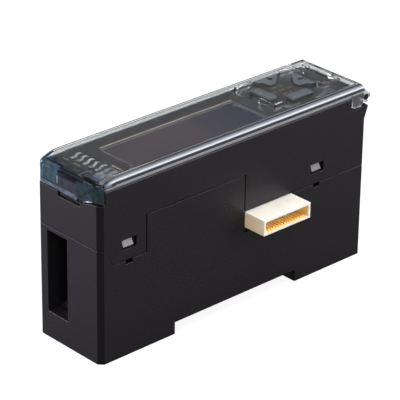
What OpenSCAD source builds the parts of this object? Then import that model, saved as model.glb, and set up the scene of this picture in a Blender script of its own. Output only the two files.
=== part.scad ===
// Slim rail-mounted amplifier for a contact displacement sensor.
// +X is the side with the standing link connector, -Y is the end with the sensor socket and +Z is up.
// The origin is the middle of the ceiling of the rail slot. Inside the modules Z is measured from the
// soles of the feet and Y from the front end, and seat() moves each finished piece to the origin.

/* [Case] */
// Width of the case
case_w = 19.2; // [18.6:0.1:22]
// Length of the case
case_l = 76.4; // [75.4:0.1:84]
// Height of the case walls above the feet
case_h = 39.4; // [38:0.1:44]
// Outer half of the lapped case wall
skin_t = 0.6; // [0.5:0.05:0.7]
// Inner half of the lapped case wall
liner_t = 0.6; // [0.5:0.05:0.8]
// Corner chamfer at the near side of the front end
front_chamfer = 1.05; // [0.6:0.05:1.2]
// Corner chamfer at the far side of the front end
far_chamfer = 0.25; // [0.15:0.05:0.5]
// Bevel along the top of the side walls
rim_bevel = 0.25; // [0.1:0.05:0.35]
// Thickness of the top deck
deck_t = 1.2; // [1:0.1:1.5]

/* [Rail] */
// Width of the rail slot
rail_slot_w = 35.6; // [35.3:0.1:36]
// Depth of the rail slot
rail_slot_d = 2.8; // [2.4:0.1:3.4]
// Length of the front foot
front_foot_l = 20.6; // [19:0.1:23]
// Reach of the rail hooks under the rail
hook_reach = 1.2; // [0.8:0.1:1.5]
// Width of the rail hooks
hook_w = 7; // [5:0.5:9]
// Clear height above the rail hooks, for the rail's flange
rail_flange_gap = 1.3; // [1.1:0.1:1.5]
// Stroke of the rail latch
latch_stroke = 1.4; // [1:0.1:1.6]

/* [Seam between the case halves] */
// Height of the seam along the sides
seam_z = 22.25; // [21:0.05:23.5]
// Rise of the seam at the front end above the seam along the sides
seam_front_rise = 3.95; // [3.8:0.05:4.4]
// Distance from the front end at which the slanted seam ends
seam_slant_l = 3.5; // [2.5:0.1:4]
// Front edge of the raised side tab
tab_front_y = 12.7; // [12:0.1:14]
// Rise of the side tab above the seam
tab_rise = 8.65; // [7.5:0.05:8.8]
// Gap along the seam
seam_gap = 0.15; // [0.1:0.01:0.2]
// Extra gap along the upright sides of the raised tab
tab_side_gap = 0.15; // [0.05:0.01:0.2]
// Overlap of the inner lip behind the seam
lip_lap = 0.8; // [0.5:0.1:1]

/* [Snap catches] */
// Length of a catch window
window_l = 4; // [3.5:0.1:4.4]
// Height of a catch window
window_h = 2.35; // [2:0.05:2.6]
// Bottom of the catch windows above the seam
window_rise = 2.55; // [2.2:0.05:3]
// Front edge of the front window
window_front_y = 5.85; // [5.6:0.05:6.2]
// Distance from the rear end to the front edge of the rear window
window_rear_back = 16.35; // [15:0.05:17]
// Length of a release notch under a window
notch_l = 1.9; // [1.4:0.1:2.4]
// Height of a release notch
notch_h = 0.85; // [0.6:0.05:1]

/* [Sensor socket] */
// Width of the opening in the front end
port_w = 6.4; // [6:0.1:6.8]
// Height of the opening in the front end
port_h = 19.1; // [17:0.1:19.2]
// Bottom of the opening in the front end
port_z = 6.2; // [6:0.1:7]
// Distance of the opening's middle from the mid-plane
port_x = -4.0; // [-4.4:0.1:-3.9]
// Depth of the socket's hollow
port_depth = 10; // [9:0.1:12]
// Wall of the socket
port_wall = 0.5; // [0.4:0.05:0.6]
// Number of contact pins
pin_count = 5; // [3:1:6]

/* [Link connector] */
// Distance of the connector's middle from the rear end
link_back = 28.9; // [28:0.1:30]
// Length of the connector
link_l = 13.8; // [12.5:0.1:14]
// Height of the connector
link_h = 3.6; // [3.4:0.1:3.7]
// Distance of the connector's top below the seam
link_drop = 0.05; // [0.02:0.01:0.5]
// Reach of the connector past the case
link_reach = 5.8; // [5:0.1:7]
// Wall of the connector
link_wall = 0.5; // [0.4:0.05:0.6]
// Number of contacts in a row
contact_count = 15; // [9:1:15]
// Pitch of the contacts
contact_pitch = 0.8; // [0.7:0.05:0.8]

/* [Control panel] */
// Thickness of the panel plate
panel_t = 0.5; // [0.4:0.05:0.7]
// Distance from the panel's long edge to the case's side
panel_inset = 0.35; // [0.25:0.05:0.5]
// Front edge of the panel
panel_front_y = 1.7; // [1.6:0.05:1.9]
// Distance from the panel's rear edge to the rear end
panel_rear_gap = 1.9; // [1.6:0.05:2.4]
// Far edge of the display window
display_far_x = -5.3; // [-6:0.1:-4.8]
// Near edge of the display window
display_near_x = 7.3; // [6.8:0.1:7.5]
// Front edge of the display window
display_front_y = 12.3; // [11.5:0.1:13.5]
// Distance from the display window's rear edge to the rear end
display_back = 26.2; // [25.5:0.1:28]
// Number of light bars
bar_count = 5; // [4:1:5]
// Pitch of the light bars
bar_pitch = 1.95; // [1.8:0.05:2]
// Width of a light bar
bar_w = 0.64; // [0.56:0.02:0.8]
// Length of a light bar
bar_l = 2.7; // [2.4:0.1:3]
// Sway of a light bar's S shape to each side
bar_sway = 0.32; // [0.1:0.02:0.36]

/* [Keys] */
// Middle of the key pad, across the case
pad_x = -1.9; // [-2.1:0.05:-1.8]
// Distance from the middle of the key pad to the rear end
pad_back = 14; // [13.6:0.05:14.4]
// Distance across the case from the pad's middle to a key's outer edge
key_out_x = 6.25; // [6:0.05:6.35]
// Distance along the case from the pad's middle to a key's outer edge
key_out_y = 7.1; // [6.9:0.05:7.2]
// Width of a bar key at its ends
bar_key_w = 2.55; // [2.2:0.05:2.7]
// Length of a key
key_l = 6.3; // [5.6:0.1:6.6]
// Height of a key above the panel
key_h = 1.0; // [0.7:0.05:1]
// Travel of a key
key_travel = 0.3; // [0.2:0.05:0.35]

/* [Cover] */
// Height of the closed cover above the panel
cover_rise = 2.2; // [2.1:0.05:2.6]
// Wall of the cover
cover_t = 0.9; // [0.8:0.05:1]
// Rounding of the cover's long edges
cover_round = 1.2; // [1:0.05:1.4]
// Rounding of the cover's rear edge
cover_rear_round = 1; // [0.6:0.05:1.2]
// Length of the down-curved front of the top
cover_nose_l = 4.6; // [4:0.1:7]
// Drop of the top at the front end
cover_nose_drop = 1.3; // [1:0.05:1.4]
// Reach of the cover's near front corner facet across the case
corner_x = 2.3; // [1.8:0.05:2.6]
// Reach of the cover's near front corner facet along the case
corner_y = 1.2; // [1:0.05:1.25]
// Reach of the cover's far front corner facet across the case
far_corner_x = 1.5; // [1.2:0.05:1.8]
// Reach of the cover's far front corner facet along the case
far_corner_y = 0.4; // [0.3:0.05:0.6]
// Gap between the panel and the skirts of the closed cover
skirt_gap = 0.15; // [0.12:0.01:0.2]
// Drop of the cover's front wall below the case's rim
cover_front_drop = 3.55; // [3.3:0.05:3.8]
// Proud pad on the front wall
lip_t = 0.45; // [0.3:0.05:0.6]
// Drop of the finger tab below the front wall
finger_drop = 0.75; // [0.6:0.05:1]
// Distance of the hinge axis behind the case
hinge_back = 0.5; // [0.4:0.05:0.6]
// Drop of the hinge axis below the case's rim
hinge_drop = 0.9; // [0.7:0.05:1.1]
// Radius of the hinge bar
hinge_r = 0.72; // [0.65:0.01:0.75]
// Wall of a hinge ring
ring_t = 0.42; // [0.38:0.02:0.5]

/* [Hidden] */
$fn = 48;

eps = 0.01;           // a cut runs past a face by this much
out = 5;              // reach of a cut that goes clear of the part
fit_gap = 0.1;        // clearance of a piece in its opening
key_gap = 0.15;       // clearance of a key in its opening
run_gap = 0.06;       // radial clearance of a ring on the hinge bar
part_gap = 0.25;      // clearance between the cover and the recesses of the case
ear_gap = 0.15;       // clearance between an ear of the cover and the case beside it

half_w = case_w / 2;
wall = skin_t + liner_t;
inner_x = half_w - wall;
mid_x = half_w - skin_t;
rail_mid_y = front_foot_l + rail_slot_w / 2;
rear_foot_y = front_foot_l + rail_slot_w;
floor_z = rail_slot_d + wall;
panel_top_z = case_h + panel_t;
deck_z = case_h - deck_t;
hinge_y = case_l + hinge_back;
hinge_z = case_h - hinge_drop;

// Link connector
link_y = case_l - link_back;
link_z = seam_z - link_drop - link_h / 2;
link_gap = 0.18;
link_out_x = half_w + link_reach;
link_root_in = 4;
link_port_depth = 5;
link_relief_l = 1.75;
link_relief_h = 1.25;
link_notch = [0.5, 0.6];
link_notch_rise = 0.4;
seam_level_l = 0.4;
contact_w = 0.42;
contact_h = 0.3;
contact_end_gap = 0.7;
port_contact_in = 1;
port_contact_h = 0.5;

// Seam and catches
seam_front_z = seam_z + seam_front_rise;
tab_top_z = seam_z + tab_rise;
tab_rear_y = link_y - link_l / 2 - 0.4;
window_z = seam_z + window_rise;
window_fronts = [window_front_y, case_l - window_rear_back];
notch_offset = 1;
tongue_side = 0.5;
tongue_over = 0.4;
tongue_root = 2;
tongue_gap = 0.05;
nose_rise = 0.6;
nose_edge_h = 0.08;
nose_slope_h = 1.25;
nose_in = 0.4;
nose_l = 2.7;

// Seat of the cover on the front end
cover_top_z = panel_top_z + cover_rise;
cover_front_z = case_h - cover_front_drop;
seat_gap = 0.35;
seat_z = cover_front_z - seat_gap;
seat_rise_x = [4.3, 7.2];
seat_rise = 0.85;
seat_depth = cover_t + 0.65;
front_wall_t = 1.2;
front_wall_z = seat_z - 2.5;
recess_x = [-3.45, 3.35];
recess_z = cover_front_z - 1.45;

// Proud pad and finger tab of the cover's front wall
finger_x = [-2.6, 3];
finger_y = 0.2;
lip_x = [-9, 7.5];
lip_side_bevel = 0.35;
lip_face_z = cover_front_z + 1.1;
lip_top_z = cover_top_z - cover_nose_drop - 0.5;
lip_top_bevel = 0.25;
lip_root = 0.1;
lip_step = 0.4;
lip_end_z = [0.3, 3.8];
snap_x = [4.1, 5.1];
snap_z = [0.85, 2.5];
snap_t = 0.4;
front_ledges = [[-8.2, -2.9], [3.1, 7]];
front_ledge_in = 0.5;
front_ledge_z = [-0.9, 0.9];

// Rear end of the cover and the hinge
skirt_z = panel_top_z + skirt_gap;
cover_rear_y = case_l - 0.6;
ear_l = 3.3;
ear_front_y = cover_rear_y - ear_l;
ear_z = hinge_z - 1.8;
ear_round = 0.9;
ear_in_x = half_w - cover_t;
ear_back_t = 1;
ear_floor_t = 1.5;
ring_r = hinge_r + run_gap + ring_t;
ring_inset = 0.1;
mid_ring_x = [-1.2, 0.8];
ring_neck_in = 0.3;
ring_neck_z = 0.2;
slit_w = 0.9;
slit_turn = -40;
post_x = [5.4, 7.2];
post_r = 1.05;
post_foot = 2.1;
step_z = hinge_z - ring_r;
step_wall_t = 1.2;
step_floor_t = 1.2;
lip_reach = 1;
rear_lip_top = 1.35;
rear_lip_tip = 2.05;
rear_lip_edge = 0.35;
rear_lip_foot = 5.1;
nose_r = (pow(cover_nose_l, 2) + pow(cover_nose_drop, 2)) / (2 * cover_nose_drop);
inner_round = 0.25;

// Guard ribs under the cover: corner from the pad's middle, and the two legs
rib_t = 0.45;
rib_h = 1.15;
guard_ribs = [[-6, -9.2, 5.2, 5], [-6, 8.8, 3.7, -4.3], [6.7, -9.1, -4.9, 3.7], [5.3, 7, -1.8, 1.9]];

// Boards
board_t = 1.2;
board_x = 0.4;
board_end_gap = 1.2;
board_front_y = wall + board_end_gap;
board_rear_y = case_l - wall - board_end_gap;
panel_board_t = 1;
panel_board_drop = 5;
panel_board_z = deck_z - panel_board_drop;
panel_board_end = 2;
panel_board_gap = 0.2;
board_up_z = panel_board_z + panel_board_t;
board_top_z = panel_board_z - 0.6;
ledge_w = 1;
ledge_h = 1;
slot_rib_t = 0.6;
slot_rib_l = board_end_gap + 0.8;
header_t = 2.5;
header_h = 4.7;
header_l = 12;
header_back = 19.6;
header_y = board_front_y + header_back;

// Display
lens_lap = 0.8;
lens_t = 0.6;
lens_z = case_h - lens_t;
lens_round = 0.6;
lens_edge = 0.5;
display_rear_y = case_l - display_back;
display_gap = 0.3;

// Keys: flange under the deck, stem over a switch
pad_y = case_l - pad_back;
key_top_z = panel_top_z + key_h;
key_bevel = 0.3;
flange_t = 0.5;
flange_lap = 0.2;
flange_gap = 0.05;
flange_z = deck_z - flange_gap - flange_t;
cap_h = key_top_z - flange_z;
switch_w = 2.4;
switch_h = 1.2;
plunger_r = 0.6;
plunger_h = 0.4;
stem_gap = 0.12;
stem_r = 0.8;
stem_z = board_up_z + switch_h + plunger_h + key_travel + stem_gap;
wedge_reach = 3.1;
wedge_side = 1.5;
wedge_tip = 0.8;
ramp_in = 1.95;
ramp_tip_h = 0.3;
drop_r = 0.55;
drop_l = 1.3;
drop_depth = 0.85;
drop_in = 1.55;
bar_hollow = 0.38;
bar_hollow_r = 9.8;
bar_corner = 0.45;
dot_r = 0.28;
dot_depth = 0.12;
side_key_x = 10;
side_key_w = 2.7;
side_flange_l = 3.4;
side_flange_run = 0.8;
side_switch_in = [1.8, 1.3];
side_rear_y = [1, 7.2];
side_rear_slant = 1.1;
side_front_y = [-7.2, -3.8];
side_front_slant = [1.4, -5.4];

// Lights
first_bar_x = -6.05;
bar_front_y = 5.8;
bar_steps = 16;
window_x = [3.3, 6.9];
window_y = [2.7, 8.5];
window_round = 1.2;
window_rim = 0.35;
window_edge_h = 0.12;
window_proud = 0.35;
led_h = 0.8;
led_w = 0.8;
led_l = 1.6;
pipe_z = board_up_z + led_h + 0.2;
pipe_in = 0.7;
bar_proud = 0.05;

// Sensor socket
socket_front_y = wall + fit_gap;
guide_y = [2.2, 4.2];
guide_h = [1.2, 0.8];
post_y = 5.4;
post_size = [0.9, 1.9];
post_low = 1.1;
pin_r = 0.32;
pin_front = 5.8;
pin_margin = 3.5;
pin_x = port_x - 1.6;

// Rail latch
latch_h = rail_slot_d - rail_flange_gap;
latch_bottom = 0.2;
latch_l = 11.2;
latch_back_y = front_foot_l - latch_l;
latch_flange = 0.5;
latch_flange_t = 0.5;
latch_flange_end = 1;
hook_bevel = 0.6;
spring_l = 3.2;
spring_r = 0.42;
spring_room = 0.3;
spring_gap = 0.05;
spring_turns = 6;
wire_r = 0.12;
spring_z = (latch_h + latch_bottom) / 2;

// Seam line from the rear end to the front end, with the lower half grown by d, by e at the tab's sides
function seam_line(d, e) = [
    [case_l + 1, seam_z + d], [tab_rear_y + e, seam_z + d], [tab_rear_y + e, tab_top_z + d],
    [tab_front_y - e, tab_top_z + d], [tab_front_y - e, seam_z + d], [seam_slant_l, seam_z + d],
    [front_chamfer + seam_level_l, seam_front_z + d], [-2, seam_front_z + d]
];

// Moves a finished piece from the bench frame to the origin in the rail slot
module seat() {
    translate([0, -rail_mid_y, -rail_slot_d]) children();
}

// A Y-Z outline drawn out along X
module side_slab(points, x0, x1) {
    translate([x0, 0, 0]) rotate([90, 0, 90]) linear_extrude(x1 - x0) polygon(points);
}

// An X-Z outline drawn out along Y
module front_slab(points, y0, y1) {
    translate([0, y1, 0]) rotate([90, 0, 0]) linear_extrude(y1 - y0) polygon(points);
}

module box(x0, x1, y0, y1, z0, z1) {
    translate([x0, y0, z0]) cube([x1 - x0, y1 - y0, z1 - z0]);
}

module both_sides() {
    children();
    mirror([1, 0, 0]) children();
}

module x_rod(x0, x1, y, z, r) {
    translate([x0, y, z]) rotate([0, 90, 0]) cylinder(r = r, h = x1 - x0);
}

module rounded_rect(x0, x1, y0, y1, r) {
    translate([x0 + r, y0]) square([x1 - x0 - 2 * r, y1 - y0]);
    translate([x0, y0 + r]) square([x1 - x0, y1 - y0 - 2 * r]);
    for (x = [x0 + r, x1 - r], y = [y0 + r, y1 - r]) translate([x, y]) circle(r);
}

// A block with its four top edges bevelled
module bevelled_block(x0, x1, y0, y1, z0, z1, b) {
    intersection() {
        front_slab([[x0, z0], [x1, z0], [x1, z1 - b], [x1 - b, z1], [x0 + b, z1], [x0, z1 - b]], y0, y1);
        side_slab([[y0, z0], [y1, z0], [y1, z1 - b], [y1 - b, z1], [y0 + b, z1], [y0, z1 - b]], x0, x1);
    }
}

// Plan of the case, shrunk by i all round, with a wide and a narrow corner chamfer at the front end
module case_plan(i) {
    w = half_w - i;
    k = front_chamfer - 0.4 * i;
    far_corner = i > 0 ? [[-w, i]] : [[-w, far_chamfer], [-w + far_chamfer, 0]];
    polygon(concat(far_corner, [[w - k, i], [w, i + k], [w, case_l - i], [-w, case_l - i]]));
}

// Wall layer between two insets of the plan
module wall_layer(i0, i1) {
    linear_extrude(case_h) difference() {
        case_plan(i0);
        case_plan(i1);
    }
}

module display_block(grow, z0, z1) {
    box(display_far_x - grow, display_near_x + grow, display_front_y - grow, display_rear_y + grow, z0, z1);
}

module below_seam(d) {
    side_slab(concat(seam_line(d, d), [[-2, -1], [case_l + 1, -1]]), -half_w - 1, half_w + 1);
}

module above_seam(d) {
    side_slab(concat(seam_line(d, d + tab_side_gap), [[-2, case_h + out], [case_l + 1, case_h + out]]),
        -half_w - 1, half_w + 1);
}

module port_block(grow, y0, y1) {
    box(port_x - port_w / 2 - grow, port_x + port_w / 2 + grow, y0, y1, port_z - grow,
        port_z + port_h + grow);
}

module link_block(grow, x0, x1) {
    box(x0, x1, link_y - link_l / 2 - grow, link_y + link_l / 2 + grow, link_z - link_h / 2 - grow,
        link_z + link_h / 2 + grow);
}

// Space in the upper half that a catch tongue stands in
module tongue_block(y, grow) {
    box(inner_x - grow, mid_x - tongue_gap + grow / 2, y - tongue_side - grow,
        y + window_l + tongue_side + grow, seam_z - tongue_root, window_z + window_h + tongue_over + grow);
}

// Catch tongue of the lower half, with its bevelled nose in the window
module catch_tongue(y) {
    nose_x = mid_x - tongue_gap;
    nose_out = half_w - tongue_gap / 2;
    nose_z = window_z + nose_rise;
    slope_z = nose_z + nose_edge_h;
    tongue_block(y, 0);
    front_slab([[nose_x - eps, nose_z], [nose_out, nose_z], [nose_out, slope_z],
        [nose_x, slope_z + nose_slope_h], [nose_x - eps, slope_z + nose_slope_h]], y + nose_in,
        y + nose_in + nose_l);
}

// Floor and feet, cored out from inside
module foot_floor() {
    front_core = [[wall, wall], [front_foot_l - wall, wall], [front_foot_l - wall, floor_z + eps],
        [wall, floor_z + eps]];
    rear_core = [[rear_foot_y + wall, wall], [case_l - wall, wall], [case_l - wall, floor_z + eps],
        [rear_foot_y + wall, floor_z + eps]];
    rail_core = hook_w / 2 + latch_flange + wall;
    difference() {
        linear_extrude(floor_z) case_plan(skin_t);
        side_slab(front_core, -inner_x, -rail_core);
        side_slab(front_core, rail_core, inner_x);
        side_slab(rear_core, -inner_x, inner_x);
    }
}

// Hook that reaches under the rail's edge, as a Y-Z outline from the slot's end at y, towards dir
function hook_outline(y, dir, bottom) = [[y - dir * eps, bottom], [y + dir * hook_reach * 0.5, bottom],
    [y + dir * hook_reach, bottom + hook_bevel], [y + dir * hook_reach, latch_h], [y - dir * eps, latch_h]];

module latch_pocket() {
    back = latch_back_y - latch_stroke - fit_gap;
    flange = hook_w / 2 + latch_flange + fit_gap;
    box(-hook_w / 2 - fit_gap, hook_w / 2 + fit_gap, back, front_foot_l + eps, -eps, latch_h + fit_gap);
    box(-flange, flange, back, front_foot_l + eps, spring_z - latch_flange_t / 2 - fit_gap,
        spring_z + latch_flange_t / 2 + fit_gap);
    box(-spring_r - spring_room, spring_r + spring_room, latch_back_y - spring_l, back + eps, -eps,
        latch_h + fit_gap);
}

module lower_case() {
    color([0.16, 0.16, 0.18]) seat() {
        difference() {
            union() {
                intersection() {
                    wall_layer(0, skin_t);
                    below_seam(0);
                }
                intersection() {
                    wall_layer(skin_t, wall);
                    below_seam(lip_lap);
                }
                foot_floor();
                both_sides() {
                    for (y = window_fronts) catch_tongue(y);
                }
                // Slots that grip the upright board at both ends
                for (x = [board_x - fit_gap - slot_rib_t, board_x + board_t + fit_gap]) {
                    box(x, x + slot_rib_t, wall - eps, wall + slot_rib_l, floor_z - 1, seam_z - 1);
                    box(x, x + slot_rib_t, case_l - wall - slot_rib_l, case_l - wall + eps, floor_z - 1,
                        seam_z - 1);
                }
            }
            box(-half_w - 1, half_w + 1, front_foot_l, rear_foot_y, -1, rail_slot_d);
            latch_pocket();
            port_block(0, -1, wall + eps);
            port_block(port_wall + fit_gap, wall, wall + slot_rib_l + 1);
            both_sides() link_block(link_gap, inner_x - 1, half_w + 1);
            // Relief under the front end of the link connector
            translate([0, link_y - link_l / 2, link_z - link_h / 2])
                box(mid_x - eps, half_w + 1, -link_gap, link_relief_l, -link_relief_h, 0);
            // Notch above its rear end
            translate([0, link_y + link_l / 2, link_z + link_h / 2])
                box(inner_x - 1, half_w + 1, 0, link_notch[0], -link_notch[1], 1);
            both_sides() {
                for (y = window_fronts) {
                    box(inner_x - 1, half_w + 1, y + notch_offset, y + notch_offset + notch_l,
                        seam_z - notch_h, seam_z + 1);
                }
            }
        }
        side_slab(hook_outline(rear_foot_y, -1, latch_bottom), -hook_w / 2, hook_w / 2);
    }
}

// Y-Z outline of the flared lip under the hinge bar
function rear_lip() = [[case_l - wall, step_z], [case_l - skin_t, step_z], [case_l, hinge_z - rear_lip_top],
    [case_l + lip_reach, hinge_z - rear_lip_tip],
    [case_l + lip_reach, hinge_z - rear_lip_tip - rear_lip_edge],
    [case_l - eps, hinge_z - rear_lip_foot], [case_l - wall, hinge_z - rear_lip_foot]];

// Y-Z outline of a post that carries the hinge bar
function hinge_post() = [[case_l - wall - eps, case_h], [hinge_y - post_r / 3, case_h],
    [hinge_y + post_r * 0.8, hinge_z + post_r / 2], [hinge_y + post_r * 0.9, hinge_z - post_r / 2],
    [case_l + lip_reach * 0.8, hinge_z - post_foot], [case_l - wall - eps, hinge_z - post_foot]];

// X-Z outline of the space above the cover's front seat, raised by d
function seat_outline(d) = [[-half_w - 1, seat_z + d], [seat_rise_x[0], seat_z + d],
    [seat_rise_x[1], seat_z + seat_rise + d], [half_w + 1, seat_z + seat_rise + d],
    [half_w + 1, case_h + out], [-half_w - 1, case_h + out]];

module rim_cut() {
    b = rim_bevel;
    both_sides() front_slab([[half_w - b, case_h + eps], [half_w + 1, case_h + eps], [half_w + 1, case_h - b],
        [half_w, case_h - b]], -1, case_l + out);
}

// Recess for an ear of the cover and its ring
module ear_recess() {
    x0 = ear_in_x - ear_gap;
    box(x0, half_w + 1, ear_front_y - part_gap, cover_rear_y + part_gap, ear_z - part_gap, case_h + out);
    x_rod(x0, half_w + 1, hinge_y, hinge_z, ring_r + part_gap);
}

module upper_case() {
    color([0.17, 0.17, 0.19]) seat() {
        difference() {
            union() {
                intersection() {
                    wall_layer(0, skin_t);
                    above_seam(seam_gap);
                }
                intersection() {
                    wall_layer(skin_t, wall);
                    above_seam(lip_lap + seam_gap);
                }
                // Deck under the panel
                translate([0, 0, deck_z]) linear_extrude(deck_t) case_plan(skin_t);
                // Stepped front wall behind the cover
                box(-inner_x - eps, inner_x + eps, wall - eps, seat_depth + front_wall_t, front_wall_z,
                    case_h);
                // Stepped rear wall in front of the hinge
                box(-inner_x - eps, inner_x + eps, case_l - wall - step_wall_t, case_l - wall + eps,
                    step_z - step_floor_t, case_h);
                // Ledges that carry the panel board
                both_sides() {
                    box(inner_x - ledge_w, inner_x + eps, wall, case_l - wall, panel_board_z - ledge_h,
                        panel_board_z);
                    box(ear_in_x - ear_gap - ear_back_t, mid_x, ear_front_y - part_gap - ear_back_t,
                        case_l - skin_t, ear_z - ear_floor_t, case_h);
                }
                side_slab(rear_lip(), -half_w, half_w);
            }
            front_slab(seat_outline(0), -1, seat_depth);
            // Recess for the finger tab
            box(recess_x[0], recess_x[1], -1, cover_t + part_gap, recess_z, case_h);
            both_sides() ear_recess();
            // Room for the hinge rings behind the top
            box(-half_w - 1, half_w + 1, case_l - wall, case_l + out, step_z, case_h + out);
            rim_cut();
            both_sides() {
                for (y = window_fronts) {
                    box(mid_x - 1, half_w + 1, y, y + window_l, window_z, window_z + window_h);
                    tongue_block(y, fit_gap);
                }
                link_block(link_gap, inner_x - 1, half_w + 1);
            }
            translate([0, link_y + link_l / 2, link_z + link_h / 2])
                box(inner_x - 1, half_w + 1, 0, link_notch[0], -1, link_notch_rise);
            panel_openings(fit_gap, key_gap, pipe_z);
            // Recess for the lens and the opening for the display under it
            display_block(lens_lap + fit_gap, lens_z, case_h + 1);
            display_block(-lens_edge, deck_z - 1, case_h + 1);
        }
        both_sides() side_slab(hinge_post(), post_x[0], post_x[1]);
        x_rod(-half_w + ring_inset, half_w - ring_inset, hinge_y, hinge_z, hinge_r);
    }
}

// Plans of the six keys, grown by g, about the middle of the pad
module key_plan(k, g) {
    if (k == 0) mirror([1, 0]) wedge_plan(key_out_x, g);
    if (k == 1) rotate(90) wedge_plan(key_out_y, g);
    if (k == 2) rotate(-90) bar_plan(key_out_y, g);
    if (k == 3) bar_plan(key_out_x, g);
    if (k == 4) {
        polygon([[side_key_x - side_key_w - g, side_rear_y[1] + g],
            [side_key_x - side_rear_slant - g, side_rear_y[0] - g], [side_key_x + g, side_rear_y[0] - g],
            [side_key_x + g, side_rear_y[1] + g]]);
    }
    if (k == 5) {
        polygon([[side_key_x - side_key_w - g, side_front_y[0] - g], [side_key_x + g, side_front_y[0] - g],
            [side_key_x + g, side_front_y[1] + g],
            [side_key_x - side_front_slant[0] - g, side_front_y[1] + g],
            [side_key_x - side_front_slant[0] - g, side_front_slant[1] + g / 2]]);
    }
}

module wedge_plan(o, g) {
    polygon([[o + g, -key_l / 2 - g], [o + g, key_l / 2 + g], [o - wedge_side - g * 0.4, key_l / 2 + g],
        [o - wedge_reach - g, wedge_tip + g * 0.4], [o - wedge_reach - g, -wedge_tip - g * 0.4],
        [o - wedge_side - g * 0.4, -key_l / 2 - g]]);
}

module bar_plan(o, g) {
    x0 = o - bar_key_w - g;
    y1 = key_l / 2 + g;
    c = bar_corner;
    difference() {
        polygon([[x0, c - y1], [x0 + c, -y1], [o + g, -y1], [o + g, y1], [x0 + c, y1], [x0, y1 - c]]);
        translate([o - bar_key_w - bar_hollow_r + bar_hollow - g, 0]) circle(bar_hollow_r, $fn = 180);
    }
}

// Openings of the panel and the deck for keys and lights
module panel_openings(light_gap, gap, z0) {
    translate([pad_x, pad_y, deck_z - 1]) linear_extrude(out) {
        for (k = [0:5]) key_plan(k, gap);
    }
    for (i = [0:bar_count - 1]) light_bar_block(i, light_gap, deck_z - 1, case_h + out);
    translate([0, 0, z0]) linear_extrude(case_h + out - z0) window_plan(light_gap);
}

module window_plan(g) {
    rounded_rect(window_x[0] - g, window_x[1] + g, window_y[0] - g, window_y[1] + g, window_round + g);
}

// One edge of a light bar's S shape, with the bar grown by g; side is 1 or -1
function bar_edge(side, g) = [for (n = [0:bar_steps]) let (t = n / bar_steps)
    [side * (bar_w / 2 + g) - bar_sway * sin(360 * t - 180), (bar_l + 2 * g) * t - g]];

module light_bar_block(i, g, z0, z1) {
    left = bar_edge(-1, g);
    right = bar_edge(1, g);
    translate([first_bar_x + i * bar_pitch, bar_front_y, z0]) linear_extrude(z1 - z0)
        polygon(concat(right, [for (n = [bar_steps:-1:0]) left[n]]));
}

module control_panel() {
    edge = half_w - panel_inset;
    color([0.2, 0.2, 0.21]) seat() difference() {
        translate([0, 0, case_h]) linear_extrude(panel_t) {
            rounded_rect(-edge, edge, panel_front_y, case_l - panel_rear_gap, lens_round);
        }
        panel_openings(fit_gap, key_gap, case_h - 1);
        translate([0, 0, case_h - 1]) linear_extrude(out) {
            rounded_rect(display_far_x, display_near_x, display_front_y, display_rear_y, lens_round);
        }
        // Corners that the cover's ears need
        both_sides() ear_recess();
    }
}

module display_window() {
    color([0.3, 0.29, 0.34]) seat() display_block(lens_lap, lens_z, case_h);
}

module display_module() {
    color([0.1, 0.1, 0.12]) seat() display_block(-lens_edge - display_gap, board_up_z, lens_z - fit_gap);
}

// Drop-shaped recess in a wedge key, pointing along +X
module drop_plan() {
    circle(drop_r);
    polygon([[drop_r / 2, -drop_r * 0.86], [drop_l, 0], [drop_r / 2, drop_r * 0.86]]);
}

// Flange rectangle of each key about the pad's middle
function flange_rect(k) =
    k == 0 ? [-key_out_x, -key_out_x + wedge_reach, -key_l / 2 - flange_lap, key_l / 2 + flange_lap] :
    k == 1 ? [-key_l / 2 - flange_lap, key_l / 2 + flange_lap, key_out_y - wedge_reach,
        key_out_y + flange_lap] :
    k == 2 ? [-key_l / 2 - flange_lap, key_l / 2 + flange_lap, -key_out_y - flange_lap,
        -key_out_y + bar_key_w - bar_hollow] :
    k == 3 ? [key_out_x - bar_key_w + bar_hollow, key_out_x + flange_lap, -key_l / 2 - flange_lap,
        key_l / 2 + flange_lap] :
    k == 4 ? [side_key_x - side_key_w, side_key_x, side_rear_y[1] - side_flange_l,
        side_rear_y[1] + flange_lap] :
    [side_key_x - side_key_w, side_key_x, side_front_y[0] - flange_lap,
        side_front_slant[1] + side_flange_run];

// Where each key's stem and switch stand about the pad's middle
function switch_at(k) = [
    [-key_out_x + wedge_side, 0], [0, key_out_y - wedge_side], [0, -key_out_y + bar_key_w / 2],
    [key_out_x - bar_key_w / 2, 0], [side_key_x - side_key_w / 2, side_rear_y[1] - side_switch_in[0]],
    [side_key_x - side_key_w / 2, side_front_y[0] + side_switch_in[1]]
][k];

module key_base(k) {
    f = flange_rect(k);
    box(f[0], f[1], f[2], f[3], 0, flange_t);
    translate([switch_at(k)[0], switch_at(k)[1], stem_z - flange_z])
        cylinder(r = stem_r, h = flange_z - stem_z + flange_t / 2);
}

// Space above the sloping top of a wedge key whose outer edge is at o
module wedge_ramp(o) {
    flat_end = o - ramp_in;
    slope = (key_h - ramp_tip_h) / (wedge_reach - ramp_in);
    front_slab([[flat_end, cap_h], [flat_end - out, cap_h - slope * out], [flat_end - out, cap_h + out],
        [flat_end, cap_h + out]], -out, out);
}

module wedge_key(k, turn, drop_y) {
    o = k == 0 ? key_out_x : key_out_y;
    color([0.42, 0.44, 0.47]) seat() translate([pad_x, pad_y, flange_z]) {
        key_base(k);
        difference() {
            linear_extrude(cap_h) key_plan(k, 0);
            rotate(turn) {
                wedge_ramp(o);
                translate([o - drop_in, drop_y, cap_h - drop_depth]) linear_extrude(out) drop_plan();
                front_slab([[o - key_bevel, cap_h], [o + 1, cap_h], [o + 1, cap_h - key_bevel],
                    [o, cap_h - key_bevel]], -out, out);
            }
        }
    }
}

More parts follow.
